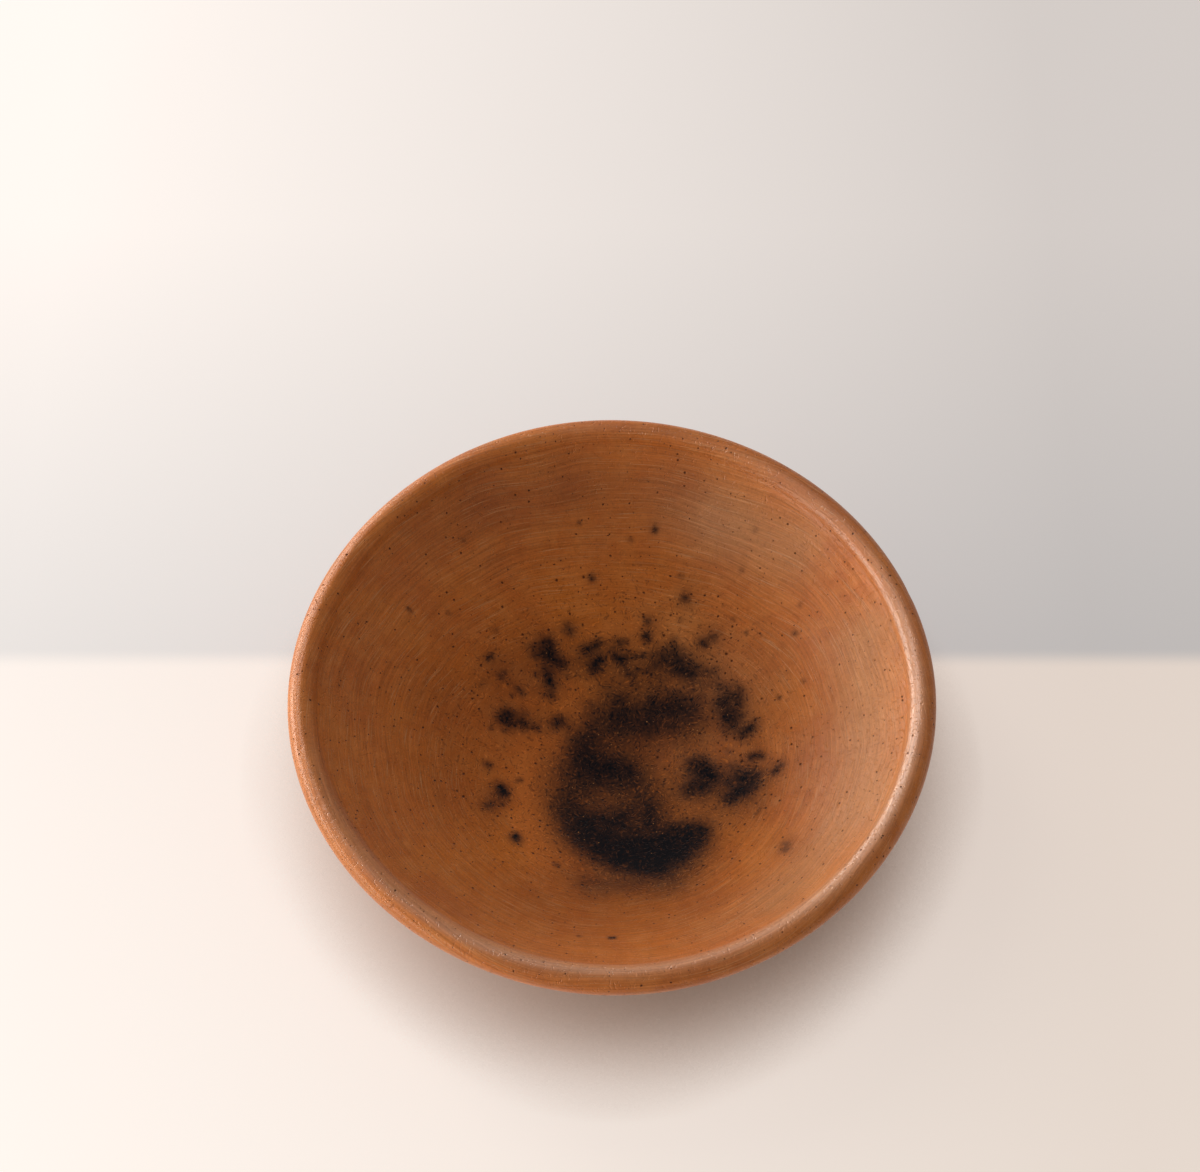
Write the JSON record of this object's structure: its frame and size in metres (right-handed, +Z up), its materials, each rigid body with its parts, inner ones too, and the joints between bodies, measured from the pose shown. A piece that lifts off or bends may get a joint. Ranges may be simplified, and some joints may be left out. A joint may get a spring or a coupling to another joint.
{
  "type": "terracotta bowl",
  "caption": "Round shallow hand-built bowl of unglazed terracotta with a thick rolled rim and a small flat foot, open at the top.",
  "frame": {"origin": "the middle of the flat foot that the bowl stands on", "axes": "+Z up through the open mouth; the bowl is round about Z, and -Y is the side that the picture is taken from"},
  "size_m": [0.2006, 0.2006, 0.0552],
  "materials": {
    "floor_clay": "satin, rubbed smooth, blackened by fire clouds",
    "wall_clay": "satin, wiped and rubbed smooth",
    "rim_clay": "satin, rubbed smooth"
  },
  "bodies": {
    "root": {"base_pad": "floor_clay", "wall_coil_1": "wall_clay", "wall_coil_2": "wall_clay", "wall_coil_3": "wall_clay", "wall_coil_4": "wall_clay", "rim_coil": "rim_clay"}
  },
  "joints": []
}
